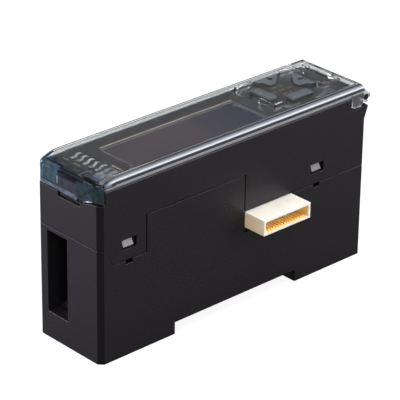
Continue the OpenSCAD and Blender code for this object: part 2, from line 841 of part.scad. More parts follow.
module bar_key(k, turn) {
    o = k == 3 ? key_out_x : key_out_y;
    color([0.42, 0.44, 0.47]) seat() translate([pad_x, pad_y, flange_z]) {
        key_base(k);
        rotate(turn) difference() {
            intersection() {
                bevelled_block(o - bar_key_w, o, -key_l / 2, key_l / 2, 0, cap_h, key_bevel);
                linear_extrude(cap_h) bar_plan(o, 0);
            }
            translate([o - bar_key_w / 2, 0, cap_h - dot_depth]) cylinder(r = dot_r, h = 1, $fn = 24);
        }
    }
}

module side_key(k) {
    color([0.42, 0.44, 0.47]) seat() translate([pad_x, pad_y, flange_z]) {
        key_base(k);
        intersection() {
            linear_extrude(cap_h) key_plan(k, 0);
            bevelled_block(side_key_x - side_key_w, side_key_x, side_front_y[0], side_rear_y[1], 0, cap_h,
                key_bevel);
        }
    }
}

module key_far() {
    wedge_key(0, 180, -0.5);
}

module key_rear() {
    wedge_key(1, 90, 0.35);
}

module key_front() {
    bar_key(2, -90);
}

module key_near() {
    bar_key(3, 0);
}

module key_side_rear() {
    side_key(4);
}

module key_side_front() {
    side_key(5);
}

module light_bar(i) {
    color([0.6, 0.63, 0.61]) seat() light_bar_block(i, 0, pipe_z, panel_top_z + bar_proud);
}

module light_window() {
    color([0.62, 0.65, 0.64]) seat() {
        // Raised lens with a step round it
        translate([0, 0, deck_z]) linear_extrude(panel_top_z + window_edge_h - deck_z) window_plan(0);
        translate([0, 0, deck_z]) linear_extrude(panel_top_z + window_proud - deck_z)
            window_plan(-window_rim);
        box(window_x[0] + pipe_in, window_x[1] - pipe_in, window_y[0] + 2 * pipe_in, window_y[1] - pipe_in,
            pipe_z, deck_z + eps);
    }
}

module panel_board() {
    color([0.06, 0.25, 0.16]) seat() box(-inner_x + panel_board_gap, inner_x - panel_board_gap,
        seat_depth + front_wall_t + panel_board_gap, case_l - wall - panel_board_end, panel_board_z,
        board_up_z);
}

module key_switches() {
    color([0.75, 0.75, 0.72]) seat() for (k = [0:5]) {
        translate([pad_x + switch_at(k)[0], pad_y + switch_at(k)[1], board_up_z]) {
            translate([-switch_w / 2, -switch_w / 2, 0]) cube([switch_w, switch_w, switch_h]);
            cylinder(r = plunger_r, h = switch_h + plunger_h);
        }
    }
}

module indicator_leds() {
    y0 = bar_front_y + (bar_l - led_l) / 2;
    color([0.9, 0.88, 0.75]) seat() {
        for (i = [0:bar_count - 1]) {
            x = first_bar_x + i * bar_pitch;
            box(x - led_w / 2, x + led_w / 2, y0, y0 + led_l, board_up_z, board_up_z + led_h);
        }
        translate([window_x[0] + window_x[1], window_y[0] + window_y[1], 0] / 2)
            box(-led_l / 2, led_l / 2, -led_l / 2, led_l / 2, board_up_z, board_up_z + led_h);
    }
}

module board_header() {
    color([0.1, 0.1, 0.1]) seat() box(board_x + board_t, board_x + board_t + header_t, header_y,
        header_y + header_l, panel_board_z - header_h, panel_board_z);
}

module main_board() {
    color([0.06, 0.28, 0.18]) seat() box(board_x, board_x + board_t, board_front_y, board_rear_y, floor_z,
        board_top_z);
}

// Sloping ledge of the sensor socket: from z, rising by h towards up (1 or -1)
module guide_ledge(z, h, up) {
    y0 = socket_front_y;
    y1 = socket_front_y + port_depth + eps;
    x0 = port_x - port_w / 2 - eps;
    side_slab([[y0 + guide_y[0], z - up * eps], [y0 + guide_y[1], z + up * h], [y1, z + up * h],
        [y1, z - up * eps]], x0, x0 + port_w + 2 * eps);
}

module sensor_socket() {
    y0 = socket_front_y;
    y1 = y0 + port_depth + 2 * port_wall;
    color([0.1, 0.1, 0.12]) seat() {
        difference() {
            union() {
                port_block(port_wall, y0, y1);
                // Bracket to the upright board
                box(port_x, board_x, wall + slot_rib_l + part_gap, y1, port_z - port_wall,
                    port_z + port_h + port_wall);
            }
            port_block(0, y0 - 1, y0 + port_depth);
        }
        guide_ledge(port_z, guide_h[0], 1);
        guide_ledge(port_z + port_h, guide_h[1], -1);
        // Coding posts
        for (z = [port_z + post_low, port_z + port_h - guide_h[1] - post_size[1] + eps]) {
            box(port_x, port_x + post_size[0], y0 + post_y, y0 + port_depth + eps, z, z + post_size[1]);
        }
    }
}

module sensor_pins() {
    pitch = (port_h - 2 * pin_margin) / (pin_count - 1);
    color([0.85, 0.7, 0.35]) seat() for (i = [0:pin_count - 1]) {
        translate([pin_x, socket_front_y + pin_front, port_z + pin_margin + i * pitch])
            rotate([-90, 0, 0]) cylinder(r = pin_r, h = port_depth - pin_front, $fn = 24);
    }
}

module link_plug() {
    color([0.93, 0.91, 0.86]) seat() difference() {
        link_block(0, board_x + board_t, link_out_x);
        link_block(-link_wall, half_w - link_root_in, link_out_x + 1);
    }
}

// Row of contact bars from x0 to x1, on heights z0 to z1
module contact_row(x0, x1, z0, z1) {
    first_y = link_y - (contact_count - 1) / 2 * contact_pitch - contact_w / 2;
    color([0.85, 0.6, 0.2]) seat() for (i = [0:contact_count - 1]) {
        y = first_y + i * contact_pitch;
        box(x0, x1, y, y + contact_w, z0, z1);
    }
}

module link_contacts() {
    plug_floor = link_z - link_h / 2 + link_wall;
    contact_row(half_w - link_root_in, link_out_x - contact_end_gap, plug_floor, plug_floor + contact_h);
}

module link_socket() {
    x0 = -inner_x + fit_gap;
    color([0.12, 0.12, 0.13]) seat() difference() {
        link_block(link_gap + link_wall, x0, board_x);
        link_block(link_gap, x0 - 1, x0 + link_port_depth);
    }
}

module link_socket_contacts() {
    x0 = -inner_x + fit_gap;
    contact_row(x0 + port_contact_in, x0 + link_port_depth, link_z - port_contact_h / 2,
        link_z + port_contact_h / 2);
}

module rail_latch() {
    flange = hook_w / 2 + latch_flange;
    color([0.2, 0.2, 0.21]) seat() {
        box(-hook_w / 2, hook_w / 2, latch_back_y, front_foot_l + eps, latch_bottom, latch_h);
        box(-flange, flange, latch_back_y, front_foot_l - latch_flange_end, spring_z - latch_flange_t / 2,
            spring_z + latch_flange_t / 2);
        side_slab(hook_outline(front_foot_l, 1, latch_bottom), -hook_w / 2, hook_w / 2);
    }
}

// Wire ring number n of the spring, with six points
function wire_ring(n, steps) = [for (j = [0:5])
    let (a = 360 * spring_turns * n / steps, b = 60 * j, r = spring_r - wire_r + wire_r * cos(b))
    [r * cos(a), (spring_l - 2 * spring_gap - 2 * wire_r) * n / steps + wire_r * sin(b), r * sin(a)]];

module latch_spring() {
    steps = spring_turns * 12;
    points = [for (n = [0:steps]) each wire_ring(n, steps)];
    sides = [for (n = [0:steps - 1], j = [0:5])
        [n * 6 + j, n * 6 + (j + 1) % 6, (n + 1) * 6 + (j + 1) % 6, (n + 1) * 6 + j]];
    ends = [[5, 4, 3, 2, 1, 0], [for (j = [0:5]) steps * 6 + j]];
    color([0.7, 0.7, 0.72]) seat() translate([0, latch_back_y - spring_l + spring_gap + wire_r, spring_z])
        polyhedron(points, concat(sides, ends));
}

// Cross-section of the cover, shrunk by i, with rounded top corners
module cover_section(i) {
    w = half_w - i;
    top = cover_top_z - i;
    r = max(cover_round - i, inner_round);
    translate([-w, 0]) square([2 * w, top - r]);
    translate([-w + r, 0]) square([2 * w - 2 * r, top]);
    for (x = [-w + r, w - r]) translate([x, top - r]) circle(r);
}

// Disc whose rim is the cover's down-curved front, shrunk by i
module nose_disc(i) {
    w = half_w - i;
    r = max(cover_round - i, inner_round);
    big = nose_r - i;
    translate([0, cover_nose_l, cover_top_z - nose_r]) rotate([0, 90, 0]) rotate_extrude($fn = 180) {
        translate([0, -w]) square([big - r, 2 * w]);
        translate([0, -w + r]) square([big, 2 * w - 2 * r]);
        for (h = [-w + r, w - r]) translate([big - r, h]) circle(r);
    }
}

// Side view of the cover, shrunk by i, with a rounded rear edge
module rear_form(i) {
    y1 = cover_rear_y - i;
    top = cover_top_z - i;
    r = max(cover_rear_round - i, inner_round);
    box(-half_w - 1, half_w + 1, -1, y1, 0, top - r);
    box(-half_w - 1, half_w + 1, -1, y1 - r, 0, top + 1);
    x_rod(-half_w - 1, half_w + 1, y1 - r, top - r, r);
}

// Ends of a corner facet with reaches x and y, shrunk by i: distance from the side, from the front
function facet(x, y, i) = [x + i * (norm([x, y]) - x) / y, y + i * (norm([x, y]) - y) / x];

// Outer form of the cover, shrunk by i all round, with facets at the front corners
module cover_form(i) {
    near = facet(corner_x, corner_y, i);
    far = facet(far_corner_x, far_corner_y, i);
    w = half_w - i;
    intersection() {
        union() {
            translate([0, case_l, 0]) rotate([90, 0, 0]) linear_extrude(case_l - cover_nose_l)
                cover_section(i);
            intersection() {
                nose_disc(i);
                box(-half_w - 1, half_w + 1, -1, cover_nose_l + eps, case_h / 2, cover_top_z + 1);
            }
        }
        rear_form(i);
        linear_extrude(cover_top_z + 1) polygon([[-w, far[1]], [-half_w + far[0], i],
            [half_w - near[0], i], [w, near[1]], [w, case_l], [-w, case_l]]);
    }
}

// What stays of the cover's walls: skirts, front wall and ears
module cover_keep() {
    r = ear_round;
    box(-half_w - 1, half_w + 1, -1, case_l, skirt_z, cover_top_z + 1);
    front_slab(seat_outline(seat_gap), -1, corner_y + tongue_gap);
    both_sides() {
        box(ear_in_x, half_w + 1, ear_front_y, cover_rear_y, ear_z + r, cover_top_z);
        box(ear_in_x, half_w + 1, ear_front_y + r, cover_rear_y - r, ear_z, cover_top_z);
        x_rod(ear_in_x, half_w + 1, ear_front_y + r, ear_z + r, r);
        x_rod(ear_in_x, half_w + 1, cover_rear_y - r, ear_z + r, r);
    }
}

// Proud pad on the front wall, bevelled all round, with a stepped slanting end
module front_pad() {
    zs = [cover_front_z, lip_face_z, lip_top_z - lip_top_bevel, lip_top_z];
    x0 = lip_x[0];
    x1 = lip_x[1];
    b = lip_side_bevel;
    intersection() {
        side_slab([[cover_t, zs[0]], [-lip_root, zs[0]], [-lip_t, zs[1]], [-lip_t, zs[2]],
            [-lip_t + lip_top_bevel, zs[3]], [cover_t, zs[3]]], -half_w, half_w);
        translate([0, 0, zs[0] - 1]) linear_extrude(case_h) polygon([[x0, cover_t], [x0, -lip_root],
            [x0 + b, -lip_t], [x1, -lip_t], [x1, cover_t]]);
        union() {
            pad_slab(0, -lip_t / 2, cover_t);
            pad_slab(lip_step, -lip_t, -lip_t / 2 + eps);
        }
    }
}

// Outline of the pad with its slanting end pulled in by d
module pad_slab(d, y0, y1) {
    front_slab([[lip_x[0], cover_front_z], [finger_x[1], cover_front_z],
        [finger_x[1], cover_front_z + lip_end_z[0] + d], [lip_x[1], cover_front_z + lip_end_z[1] + d],
        [lip_x[1], lip_top_z], [lip_x[0], lip_top_z]], y0, y1);
}

// Hinge ring between x0 and x1, joined to the cover by a neck
module hinge_ring(x0, x1) {
    y0 = cover_rear_y - ring_neck_in;
    difference() {
        union() {
            x_rod(x0, x1, hinge_y, hinge_z, ring_r);
            side_slab([[y0, skirt_z + cover_t], [y0, skirt_z + eps],
                [cover_rear_y + fit_gap, hinge_z + ring_neck_z], [hinge_y, hinge_z + ring_neck_z],
                [hinge_y + ring_neck_in, hinge_z + ring_r - eps],
                [cover_rear_y, skirt_z + cover_t]], x0, x1);
        }
        x_rod(x0 - 1, x1 + 1, hinge_y, hinge_z, hinge_r + run_gap);
        // Slit that lets the ring snap over the bar
        translate([0, hinge_y, hinge_z]) rotate([slit_turn, 0, 0])
            box(x0 - 1, x1 + 1, 0, ring_r + 1, -slit_w / 2, slit_w / 2);
    }
}

// L-shaped guard rib under the top: corner at x, y and legs dx and dy
module guard_rib(x, y, dx, dy) {
    top = cover_top_z - cover_t + eps;
    sx = sign(dx);
    sy = sign(dy);
    box(min(x, x + dx), max(x, x + dx), min(y, y + sy * rib_t), max(y, y + sy * rib_t), top - rib_h, top);
    box(min(x, x + sx * rib_t), max(x, x + sx * rib_t), min(y, y + dy), max(y, y + dy), top - rib_h, top);
}

module cover() {
    color([0.8, 0.86, 0.88, 0.35]) seat() {
        intersection() {
            difference() {
                cover_form(0);
                cover_form(cover_t);
            }
            cover_keep();
        }
        front_pad();
        box(finger_x[0], finger_x[1], -finger_y, cover_t, cover_front_z - finger_drop, lip_face_z);
        // Snap blocks on the inside of the front wall
        both_sides() box(snap_x[0], snap_x[1], cover_t - eps, cover_t + snap_t, cover_front_z + snap_z[0],
            cover_front_z + snap_z[1]);
        // Ledges inside the front wall, on both sides of the finger tab
        for (x = front_ledges) box(x[0], x[1], cover_t - eps, cover_t + front_ledge_in,
            panel_top_z + front_ledge_z[0], panel_top_z + front_ledge_z[1]);
        hinge_ring(mid_ring_x[0], mid_ring_x[1]);
        both_sides() hinge_ring(ear_in_x, half_w - ring_inset);
        for (g = guard_ribs) guard_rib(pad_x + g[0], pad_y + g[1], g[2], g[3]);
    }
}

lower_case();
upper_case();
cover();
control_panel();
display_window();
display_module();
key_far();
key_rear();
key_front();
key_near();
key_side_rear();
key_side_front();
light_bar(0);  // light_bar_1
light_bar(1);  // light_bar_2
light_bar(2);  // light_bar_3
light_bar(3);  // light_bar_4
light_bar(4);  // light_bar_5
light_window();
panel_board();
key_switches();
indicator_leds();
board_header();
main_board();
sensor_socket();
sensor_pins();
link_plug();
link_contacts();
link_socket();
link_socket_contacts();
rail_latch();
latch_spring();
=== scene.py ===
import math

import bpy
from mathutils import Euler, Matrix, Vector


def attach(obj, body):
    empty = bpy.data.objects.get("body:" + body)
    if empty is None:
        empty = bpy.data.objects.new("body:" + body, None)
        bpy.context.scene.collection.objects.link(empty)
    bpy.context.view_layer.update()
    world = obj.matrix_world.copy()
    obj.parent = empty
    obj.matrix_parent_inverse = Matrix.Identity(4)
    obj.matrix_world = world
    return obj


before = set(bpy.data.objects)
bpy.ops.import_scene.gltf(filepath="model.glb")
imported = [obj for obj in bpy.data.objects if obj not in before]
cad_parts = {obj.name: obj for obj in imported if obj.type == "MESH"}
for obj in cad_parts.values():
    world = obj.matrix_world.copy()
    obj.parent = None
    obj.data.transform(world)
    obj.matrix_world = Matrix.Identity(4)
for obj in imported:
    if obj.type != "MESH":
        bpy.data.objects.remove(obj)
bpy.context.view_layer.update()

MM = 0.001

# Bench measures are in mm: x from the mid-plane, y from the case's front end, z from the soles
CENTRE_Y = 38.4    # the rail slot's middle
SOLE = 2.8         # the rail slot's roof
LENS_TOP = 39.4
PANEL_TOP = 39.9
KEY_TOP = 40.9


def bench(x, y, z):
    """A bench point in the part's frame, in metres."""
    return Vector((x, y - CENTRE_Y, z - SOLE)) * MM


# Colours

def srgb(r, g, b):
    """A colour from its 0 to 255 values, as a linear colour."""
    def linear(v):
        v /= 255
        return v / 12.92 if v <= 0.04045 else ((v + 0.055) / 1.055) ** 2.4
    return (linear(r), linear(g), linear(b), 1.0)


def shade(colour, factor):
    """The same colour, factor times as bright."""
    return tuple(min(c * factor, 1.0) for c in colour[:3]) + (1.0,)


WHITE = (1, 1, 1, 1)


# Shader nodes

NOISE_LOW, NOISE_HIGH = 0.3, 0.7    # most of the noise lies between these


def new_material(name):
    """A new material with its tree and its shader."""
    mat = bpy.data.materials.new(name)
    mat.use_nodes = True
    return mat, mat.node_tree, mat.node_tree.nodes["Principled BSDF"]


def start_material(name):
    """The same, with the place on the object."""
    mat, tree, shader = new_material(name)
    return mat, tree, shader, tree.nodes.new("ShaderNodeTexCoord").outputs["Object"]


def axes(tree, vector):
    """The X, Y and Z of a vector."""
    node = tree.nodes.new("ShaderNodeSeparateXYZ")
    tree.links.new(vector, node.inputs["Vector"])
    return node.outputs["X"], node.outputs["Y"], node.outputs["Z"]


def noise(tree, place, grain_mm, detail=3.0, stretch=(1, 1, 1)):
    """Noise whose spots are about grain_mm across."""
    mapping = tree.nodes.new("ShaderNodeMapping")
    mapping.inputs["Scale"].default_value = [s / (grain_mm * MM) for s in stretch]
    tree.links.new(place, mapping.inputs["Vector"])
    node = tree.nodes.new("ShaderNodeTexNoise")
    node.inputs["Scale"].default_value = 1.0
    node.inputs["Detail"].default_value = detail
    tree.links.new(mapping.outputs["Vector"], node.inputs["Vector"])
    return node.outputs["Fac"]


def ramp(tree, value, stops):
    """Colour ramp from (position, colour) stops."""
    node = tree.nodes.new("ShaderNodeValToRGB")
    band = node.color_ramp
    while len(band.elements) > 1:
        band.elements.remove(band.elements[-1])
    band.elements[0].position, band.elements[0].color = stops[0]
    for position, colour in stops[1:]:
        band.elements.new(position).color = colour
    tree.links.new(value, node.inputs["Fac"])
    return node.outputs["Color"]


def grey_ramp(tree, value, stops):
    """A number from (position, number) stops."""
    return ramp(tree, value, [(position, (level, level, level, 1)) for position, level in stops])


def two_tone(tree, value, dark, light, low=NOISE_LOW, high=NOISE_HIGH):
    """A colour from dark to light as the value goes from low to high."""
    return ramp(tree, value, [(low, dark), (high, light)])


def spread(tree, value, low, high, from_low=NOISE_LOW, from_high=NOISE_HIGH):
    """A number from low to high as the value goes from from_low to from_high."""
    node = tree.nodes.new("ShaderNodeMapRange")
    node.inputs["From Min"].default_value = from_low
    node.inputs["From Max"].default_value = from_high
    node.inputs["To Min"].default_value = low
    node.inputs["To Max"].default_value = high
    tree.links.new(value, node.inputs["Value"])
    return node.outputs["Result"]


def maths(tree, operation, *values):
    """The result of a sum on two or three values, each a number or a socket."""
    node = tree.nodes.new("ShaderNodeMath")
    node.operation = operation
    for socket, value in zip(node.inputs, values):
        if isinstance(value, (int, float)):
            socket.default_value = value
        else:
            tree.links.new(value, socket)
    return node.outputs[0]


def inside(tree, place, low, high):
    """1 inside the block between two bench points, 0 outside."""
    result = None
    for measure, least, most in zip(axes(tree, place), bench(*low), bench(*high)):
        within = maths(tree, "COMPARE", measure, (least + most) / 2, (most - least) / 2)
        result = within if result is None else maths(tree, "MULTIPLY", result, within)
    return result


def blend_colours(tree, factor, first, second, how="MIX"):
    """The first colour at factor 0 and the second at 1."""
    node = tree.nodes.new("ShaderNodeMix")
    node.data_type = "RGBA"
    node.blend_type = how
    for name, value in (("Factor", factor), ("A", first), ("B", second)):
        if isinstance(value, (int, float, tuple)):
            node.inputs[name].default_value = value
        else:
            tree.links.new(value, node.inputs[name])
    return node.outputs["Result"]


def bump(tree, value, height_mm, base=None):
    """Normals of a surface that the value raises by up to height_mm."""
    node = tree.nodes.new("ShaderNodeBump")
    node.inputs["Distance"].default_value = height_mm * MM
    node.inputs["Strength"].default_value = 1.0
    tree.links.new(value, node.inputs["Height"])
    if base is not None:
        tree.links.new(base, node.inputs["Normal"])
    return node.outputs["Normal"]


def broken_edges(tree, radius_mm):
    """Normals that round the sharp edges off, as a mould does."""
    node = tree.nodes.new("ShaderNodeBevel")
    node.samples = 6
    node.inputs["Radius"].default_value = radius_mm * MM
    return node.outputs["Normal"]


# Moulded plastic

PATCH_SIZE = 9.0                 # mm, the size of slow patches in the tone
PATCH_SHADE = 0.92
PATCH_BLEND = (0.55, 1.0)        # share of the plain tone in a patch and outside it
SPECKLE_SHADES = (0.8, 1.15)     # darkest and lightest grain of a block
FLAT_Z, UPRIGHT_Z = 0.8, 0.15    # Z of the normal on a flat face and on an upright one
GLOSS_SPREAD = 0.07


def moulded_plastic(name, colour, rough=0.5, grain=0.16, depth=0.012, specular=0.4, mottling=0.12,
                    edge=0.0, painted_blocks=(), side=None, tint=None):
    """Plastic from a textured mould: fine grain in colour, gloss and height.
    A painted block is two corners and a colour of painted light or shade; side is a colour painted
    on faces that stand upright, lighter or darker than the top for how light falls on them."""
    mat, tree, shader, place = start_material(name)
    fine = noise(tree, place, grain)
    patches = spread(tree, noise(tree, place, PATCH_SIZE, 2.0), *PATCH_BLEND)
    tone = two_tone(tree, fine, shade(colour, 1 - mottling), shade(colour, 1 + mottling))
    tone = blend_colours(tree, patches, shade(colour, PATCH_SHADE), tone)
    # Upright faces take the side colour: painted light or shade that sets them apart from the top
    if side:
        normal = tree.nodes.new("ShaderNodeNewGeometry").outputs["Normal"]
        upright = spread(tree, axes(tree, normal)[2], 1.0, 0.0, UPRIGHT_Z, FLAT_Z)
        tone = blend_colours(tree, upright, tone, side)
    # Painted blocks: light or shade painted onto a block of the surface
    for low, high, painted_tone in painted_blocks:
        speckle = two_tone(tree, fine, *(shade(painted_tone, factor) for factor in SPECKLE_SHADES))
        tone = blend_colours(tree, inside(tree, place, low, high), tone, speckle)
    gloss = spread(tree, fine, rough - GLOSS_SPREAD, rough + GLOSS_SPREAD)
    edges = broken_edges(tree, edge) if edge else None
    tree.links.new(tone, shader.inputs["Base Color"])
    tree.links.new(gloss, shader.inputs["Roughness"])
    tree.links.new(bump(tree, fine, depth, edges), shader.inputs["Normal"])
    shader.inputs["Specular IOR Level"].default_value = specular
    if tint:
        shader.inputs["Specular Tint"].default_value = tint
    return mat


# Clear plastic of the cover

COVER_TOP = 42.1
NOSE_LENGTH = 4.6          # the length over which the cover's front end curves down
NOSE_BEND = 16.3           # twice the radius of that curve
SKIRT_REACH = 2.5          # how far down from the top the edge tones run
FRONT_TINT_Y = (1.4, 3.4)  # the front end's tint fades out between these
SKIRT_X = 8.65             # a point further out than this is in a skirt
ROUNDING_X = 8.74          # and further out than this in the near rounding too
HAZE_SIZE = 12.0
HAZE_SHADE = 0.99
HAZE_ROUGHNESS = 0.015
SWIRL_SIZE = 1.1
SWIRL_SPREAD = (0.35, 0.65)
SWIRL_SHADES = (0.6, 1.3)
SHEEN_STOPS = [(0.1, 0.0), (0.17, 0.4)]    # depth and added roughness down the near rounding
COVER_IOR = 1.49

CLEAR = srgb(247, 249, 249)
# DUSK, TEAL and PALE are tones of the painted reflections, glints and shade in the cover
DUSK = srgb(46, 51, 62)
TEAL = srgb(48, 66, 78)
PALE = srgb(218, 219, 223)
NEAR_SKIRT = srgb(205, 208, 214)
FAR_SKIRT = srgb(224, 227, 227)
FRONT_TINT = srgb(180, 204, 220)

# Depth, colour and cloudiness down the near rounding: painted highlight, reflection and shade bands
# that stand in for the light the real cover traps there
EDGE_REFLECTION_TONES = [
    (0.02, CLEAR, 0.0), (0.05, shade(DUSK, 0.8), 0.8), (0.2, shade(DUSK, 1.4), 0.9),
    (0.29, srgb(128, 132, 142), 0.9), (0.37, PALE, 0.9), (0.42, PALE, 0.9), (0.51, DUSK, 0.8),
    (0.74, DUSK, 0.8), (0.8, shade(PALE, 0.65), 0.8), (0.84, shade(PALE, 0.65), 0.8),
    (0.87, shade(CLEAR, 0.7), 0.05),
]

# Blocks with a colour and a cloudiness: a painted dark outline along the far side's silhouette, and
# a pale painted veil over the far skirt and the rear wall for the light seen through them
PAINTED_WALL_BLOCKS = [
    ((-9.7, 0.5, 41.2), (-8.42, 70, 42.11), srgb(80, 82, 83), 0.95),      # outline of the far side
    ((-9.7, 4.0, 40.0), (-8.7, 74.9, 41.2), FAR_SKIRT, 0.18),             # far skirt
    ((-8.7, 74.9, 40.0), (8.6, 76.0, 41.5), FAR_SKIRT, 0.18),             # rear wall
]

# The same, with swirls: painted reflections, glints and shade where walls and ribs of the thick
# front end pile up
PAINTED_FRONT_BLOCKS = [
    ((-8.6, -1, 37.25), (-3.0, 0.45, 41.1), shade(TEAL, 1.8), 0.45),      # front wall's far half
    ((2.8, -1, 37.0), (7.6, 0.45, 40.3), shade(TEAL, 0.8), 0.5),          # its near half
    ((-2.6, -1, 40.2), (4.6, 0.45, 41.05), shade(DUSK, 0.35), 0.6),       # over the proud pad
    ((-2.9, -1, 36.95), (2.8, 0.45, 39.4), DUSK, 0.7),                    # finger tab
    ((-8.7, -1, 36.95), (-3.0, 0.45, 37.25), shade(DUSK, 0.25), 0.85),    # step above the lip
    ((-9.2, -1, 35.8), (2.6, 0.45, 36.95), shade(DUSK, 4.0), 0.7),        # lip
    ((7.6, -1, 35.8), (9.7, 4.4, 40.2), shade(TEAL, 0.8), 0.4),           # near corner facet
    ((-8.9, -1, 36.8), (-8.5, 1.8, 40.6), shade(PALE, 0.6), 0.6),         # front wall's far end
    ((-3.3, -1, 37.6), (-3.0, 0.45, 39.2), shade(PALE, 0.4), 0.6),        # proud pad's far edge
    ((8.5, 1.5, 41.1), (9.4, 4.4, 42.0), shade(DUSK, 0.25), 0.9),         # near corner's fold
]


def below_top(tree, y, z):
    """How far a point lies below the cover's top, which curves down at the front, from 0 to 1."""
    ahead = maths(tree, "SUBTRACT", bench(0, NOSE_LENGTH, 0).y, y)
    ahead = maths(tree, "MAXIMUM", ahead, 0)
    drop = maths(tree, "DIVIDE", maths(tree, "MULTIPLY", ahead, ahead), NOSE_BEND * MM)
    height = maths(tree, "ADD", z, drop)
    top, bottom = bench(0, 0, COVER_TOP).z, bench(0, 0, COVER_TOP - SKIRT_REACH).z
    return spread(tree, height, 0.0, 1.0, top, bottom)


def clear_plastic(name):
    """Clear moulded polycarbonate, a little more tinted in its skirts and its thick front end, with
    painted reflection bands down its near rounding, painted reflections, glints and shade in its
    front end, and a painted outline and veils on its far walls.
    """
    mat, tree, shader, place = start_material(name)
    x, y, z = axes(tree, place)
    haze = noise(tree, place, HAZE_SIZE, 1.0)
    swirl = noise(tree, place, SWIRL_SIZE, 2.0)
    front = spread(tree, y, 1.0, 0.0, *(bench(0, end, 0).y for end in FRONT_TINT_Y))
    tone = two_tone(tree, haze, shade(CLEAR, HAZE_SHADE), CLEAR)
    tone = blend_colours(tree, maths(tree, "GREATER_THAN", x, SKIRT_X * MM), tone, NEAR_SKIRT)
    tone = blend_colours(tree, maths(tree, "LESS_THAN", x, -SKIRT_X * MM), tone, FAR_SKIRT)
    tone = blend_colours(tree, front, tone, FRONT_TINT)

    # Painted reflection bands down the near rounding, then the painted blocks over them
    depth = below_top(tree, y, z)
    edge = maths(tree, "GREATER_THAN", x, ROUNDING_X * MM)
    edge = maths(tree, "MULTIPLY", edge, maths(tree, "SUBTRACT", 1.0, front))
    colours = ramp(tree, depth, [(stop, colour) for stop, colour, _ in EDGE_REFLECTION_TONES])
    clouds = grey_ramp(tree, depth, [(stop, cloudiness) for stop, _, cloudiness in EDGE_REFLECTION_TONES])
    tone = blend_colours(tree, edge, tone, colours)
    cloud = maths(tree, "MULTIPLY", edge, clouds)
    for painted_blocks, swirled in ((PAINTED_WALL_BLOCKS, False), (PAINTED_FRONT_BLOCKS, True)):
        for low, high, painted_tone, cloudiness in painted_blocks:
            here = inside(tree, place, low, high)
            if swirled:
                dark, light = (shade(painted_tone, factor) for factor in SWIRL_SHADES)
                painted_tone = two_tone(tree, swirl, dark, light, *SWIRL_SPREAD)
            tone = blend_colours(tree, here, tone, painted_tone)
            cloud = maths(tree, "MAXIMUM", cloud, maths(tree, "MULTIPLY", here, cloudiness))

    sheen = maths(tree, "MULTIPLY", edge, grey_ramp(tree, depth, SHEEN_STOPS))
    gloss = maths(tree, "ADD", spread(tree, haze, 0.0, HAZE_ROUGHNESS), sheen)
    clearness = maths(tree, "SUBTRACT", 1.0, cloud)
    tree.links.new(tone, shader.inputs["Base Color"])
    tree.links.new(gloss, shader.inputs["Roughness"])
    tree.links.new(clearness, shader.inputs["Transmission Weight"])
    shader.inputs["IOR"].default_value = COVER_IOR
    return mat


# Lenses, metal and smooth plastic

WINDOW_Y = (12.4, 49.4)            # the tint drifts between these
STREAK_SIZE = 0.35
STREAK_STRETCH = (1.6, 0.03, 1)    # the lines run along the case
STREAK_SPREAD = (0.35, 0.65)
STREAK_TONE = (0.7, 0.7, 0.72, 1)
STREAK_SHARE = 0.35
SMOKED_GLOSS = (0.08, 0.14)
MILKY_GLOSS = (0.12, 0.3)
MILKY_SPREAD = (0.05, 0.3)


def smoked_lens(name, near, far):
    """Glossy smoked lens whose tint drifts along the window, with hair-fine lines."""
    mat, tree, shader, place = start_material(name)
    drift = spread(tree, axes(tree, place)[1], 0.0, 1.0, *(bench(0, end, 0).y for end in WINDOW_Y))
    tone = ramp(tree, drift, [(0.0, near), (0.55, shade(near, 1.1)), (1.0, far)])
    lines = noise(tree, place, STREAK_SIZE, 2.0, STREAK_STRETCH)
    streaks = two_tone(tree, lines, STREAK_TONE, WHITE, *STREAK_SPREAD)
    tone = blend_colours(tree, STREAK_SHARE, tone, streaks, "MULTIPLY")
    gloss = spread(tree, noise(tree, place, 3.0), *SMOKED_GLOSS)
    tree.links.new(tone, shader.inputs["Base Color"])
    tree.links.new(gloss, shader.inputs["Roughness"])
    shader.inputs["Specular IOR Level"].default_value = 0.5
    return mat


def milky_lens(name, dark, light, grain=0.9):
    """Frosted light pipe with cloudy facets inside."""
    mat, tree, shader, place = start_material(name)
    cells = tree.nodes.new("ShaderNodeTexVoronoi")
    cells.inputs["Scale"].default_value = 1 / (grain * MM)
    tree.links.new(place, cells.inputs["Vector"])
    cloud = noise(tree, place, grain * 0.8, 2.0)
    mixed = maths(tree, "MULTIPLY", cells.outputs["Distance"], cloud)
    tree.links.new(two_tone(tree, mixed, dark, light, *MILKY_SPREAD), shader.inputs["Base Color"])
    tree.links.new(spread(tree, cloud, *MILKY_GLOSS), shader.inputs["Roughness"])
    tree.links.new(bump(tree, mixed, 0.05), shader.inputs["Normal"])
    return mat


def plated_metal(name, colour, rough=0.3, metallic=1.0):
    """Plated metal with fine drawing lines."""
    mat, tree, shader, place = start_material(name)
    fine = noise(tree, place, 0.2, stretch=(1, 0.2, 1))
    tone = two_tone(tree, fine, shade(colour, 0.85), colour)
    tree.links.new(tone, shader.inputs["Base Color"])
    tree.links.new(spread(tree, fine, rough - 0.08, rough + 0.08), shader.inputs["Roughness"])
    tree.links.new(bump(tree, fine, 0.003), shader.inputs["Normal"])
    shader.inputs["Metallic"].default_value = metallic
    return mat


